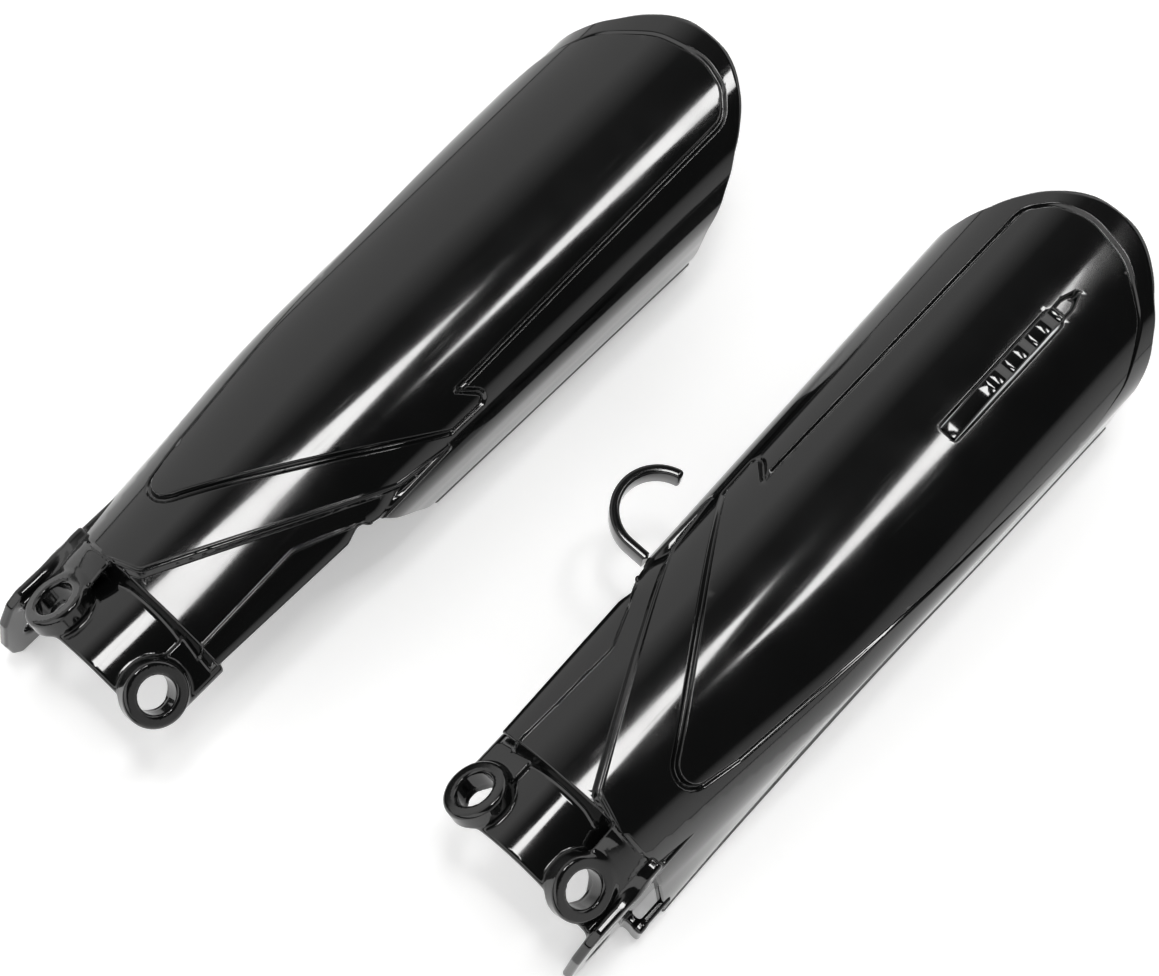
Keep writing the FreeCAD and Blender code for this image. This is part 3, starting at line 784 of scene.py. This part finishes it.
# Each screen's first and last angle off the vertical, and its brightness as (share of its width
# from the left, level); the first two stops are the ends.
SCREEN_RADIUS, SCREEN_ALONG, SCREEN_COLUMNS = 8.0, (-6, 9), 49
LEFT_SCREEN = (-88, 8, ((0.0, 0.95), (1.0, 0.02), (0.4, 0.9), (0.6, 0.1), (0.88, 0.04)))
RIGHT_SCREEN = (52, 89, ((0.0, 0.0), (1.0, 0.9), (0.35, 0.6), (0.8, 0.85)))


def stage_mesh(name, points, faces, material):
    mesh = bpy.data.meshes.new(name)
    mesh.from_pydata(points, [], faces)
    mesh.materials.append(material)
    thing = bpy.data.objects.new(name, mesh)
    bpy.context.scene.collection.objects.link(thing)
    return thing


def glowing(name, strength):
    """An emitting material, and the socket of its strength."""
    material = bpy.data.materials.new(name)
    material.use_nodes = True
    nodes = material.node_tree.nodes
    nodes.remove(nodes["Principled BSDF"])
    emission = nodes.new("ShaderNodeEmission")
    emission.inputs["Color"].default_value = LIGHT_COLOUR
    emission.inputs["Strength"].default_value = strength
    links = material.node_tree.links
    links.new(emission.outputs["Emission"], nodes["Material Output"].inputs["Surface"])
    return material, emission.inputs["Strength"]


def hung_panel(name, outline, strength):
    """A flat light overhead."""
    material, _ = glowing(name, strength)
    points = [(x * PANEL_HEIGHT, y * PANEL_HEIGHT, PANEL_HEIGHT) for x, y in outline]
    stage_mesh(name, points, [tuple(range(len(points)))], material).visible_camera = False


def arched_screen(name, first, last, levels):
    """An arched diffuser beside and above the object, with levels of brightness across it."""
    material, strength = glowing(name, 1.0)
    nodes, links = material.node_tree.nodes, material.node_tree.links
    place = nodes.new("ShaderNodeTexCoord")
    axes = nodes.new("ShaderNodeSeparateXYZ")
    level = nodes.new("ShaderNodeValToRGB")
    links.new(place.outputs["Generated"], axes.inputs["Vector"])
    links.new(axes.outputs["X"], level.inputs["Fac"])
    links.new(level.outputs["Color"], strength)
    ramp = level.color_ramp
    for index, (spot, value) in enumerate(levels):
        stop = ramp.elements[index] if index < 2 else ramp.elements.new(spot)
        stop.position = spot
        stop.color = (value, value, value, 1)
    points = []
    for angle in np.radians(np.linspace(first, last, SCREEN_COLUMNS)):
        across, height = SCREEN_RADIUS * math.sin(angle), SCREEN_RADIUS * math.cos(angle)
        points += [(across, along, height) for along in SCREEN_ALONG]
    faces = [(2 * i, 2 * i + 1, 2 * i + 3, 2 * i + 2) for i in range(SCREEN_COLUMNS - 1)]
    stage_mesh(name, points, faces, material).visible_camera = False


def studio():
    """A plain pale floor, a dim room, a diffuser on either side and small bright panels above."""
    paper = bpy.data.materials.new("paper")
    paper.use_nodes = True
    shader = paper.node_tree.nodes["Principled BSDF"]
    shader.inputs["Base Color"].default_value = PAPER_COLOUR
    shader.inputs["Roughness"].default_value = PAPER_ROUGHNESS
    shader.inputs["Emission Color"].default_value = WHITE
    shader.inputs["Emission Strength"].default_value = PAPER_GLOW
    corners = ((-1, -1), (1, -1), (1, 1), (-1, 1))
    corners = [(x * FLOOR_REACH, y * FLOOR_REACH, 0) for x, y in corners]
    stage_mesh("floor", corners, [(0, 1, 2, 3)], paper)
    world = bpy.data.worlds.new("studio")
    bpy.context.scene.world = world
    world.use_nodes = True
    background = world.node_tree.nodes["Background"]
    background.inputs["Color"].default_value = WHITE
    background.inputs["Strength"].default_value = ROOM_GLOW
    arched_screen("left_screen", *LEFT_SCREEN)
    arched_screen("right_screen", *RIGHT_SCREEN)
    for index, outline in enumerate(BRIGHT_PANELS):
        hung_panel(f"bright_{index}", outline, PANEL_GLOW)
    hung_panel("front_fill", FRONT_FILL, FILL_GLOW)
    hung_panel("back_fill", BACK_FILL, FILL_GLOW)
    bpy.context.scene.view_settings.view_transform = "Standard"


# the camera: its place in metres from the plain guard's own origin, its axes and its lens
CAMERA_PLACE = (0.2168, -0.0805, 0.7653)
CAMERA_RIGHT, CAMERA_UP = (0.7406, 0.6687, 0.0628), (-0.6453, 0.6825, 0.3427)
CAMERA_BACK = (0.1864, -0.2943, 0.9373)
SENSOR_WIDTH, LENS = 36, 71.44


def photo_camera(origin):
    """The camera at the photograph's viewing angle."""
    camera = bpy.data.cameras.new("camera")
    camera.sensor_width = SENSOR_WIDTH
    camera.lens = LENS
    shot = bpy.data.objects.new("camera", camera)
    turned = Matrix((CAMERA_RIGHT, CAMERA_UP, CAMERA_BACK)).transposed().to_4x4()
    shot.matrix_world = Matrix.Translation(Vector(origin) + Vector(CAMERA_PLACE)) @ turned
    bpy.context.scene.collection.objects.link(shot)
    bpy.context.scene.camera = shot


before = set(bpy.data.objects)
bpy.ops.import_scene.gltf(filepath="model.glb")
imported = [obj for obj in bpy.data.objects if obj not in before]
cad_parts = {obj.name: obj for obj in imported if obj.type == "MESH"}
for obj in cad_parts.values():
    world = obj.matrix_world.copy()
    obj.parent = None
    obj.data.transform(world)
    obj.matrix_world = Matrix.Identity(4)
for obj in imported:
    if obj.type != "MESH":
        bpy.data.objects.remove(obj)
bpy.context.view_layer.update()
plastic = gloss_plastic()
lug = lug_end()
# the hose guard is mirrored, and it alone has the hook, the slot and the tongue
for body, node, mirrored in (("plain", "plain_guard", False), ("hose", "hose_guard", True)):
    skin = guard_skin(with_slot=mirrored)
    origin = guard_origin(node, mirrored, np.concatenate([skin[0], lug[0]]))
    pieces = [(body, node, [skin, lug])]
    if mirrored:
        pieces.append(("hook", "brake_hose_hook", [(*hook_shape(), None)]))
        pieces.append(("tongue", "hose_clip_tongue", [(*tongue_shape(), None)]))
    else:
        photo_camera(origin)
    for rider, replaced, chunks in pieces:
        piece = mesh_piece(f"{replaced}_look", chunks, plastic, origin, mirrored)
        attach(piece, rider)
        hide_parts(replaced)
studio()
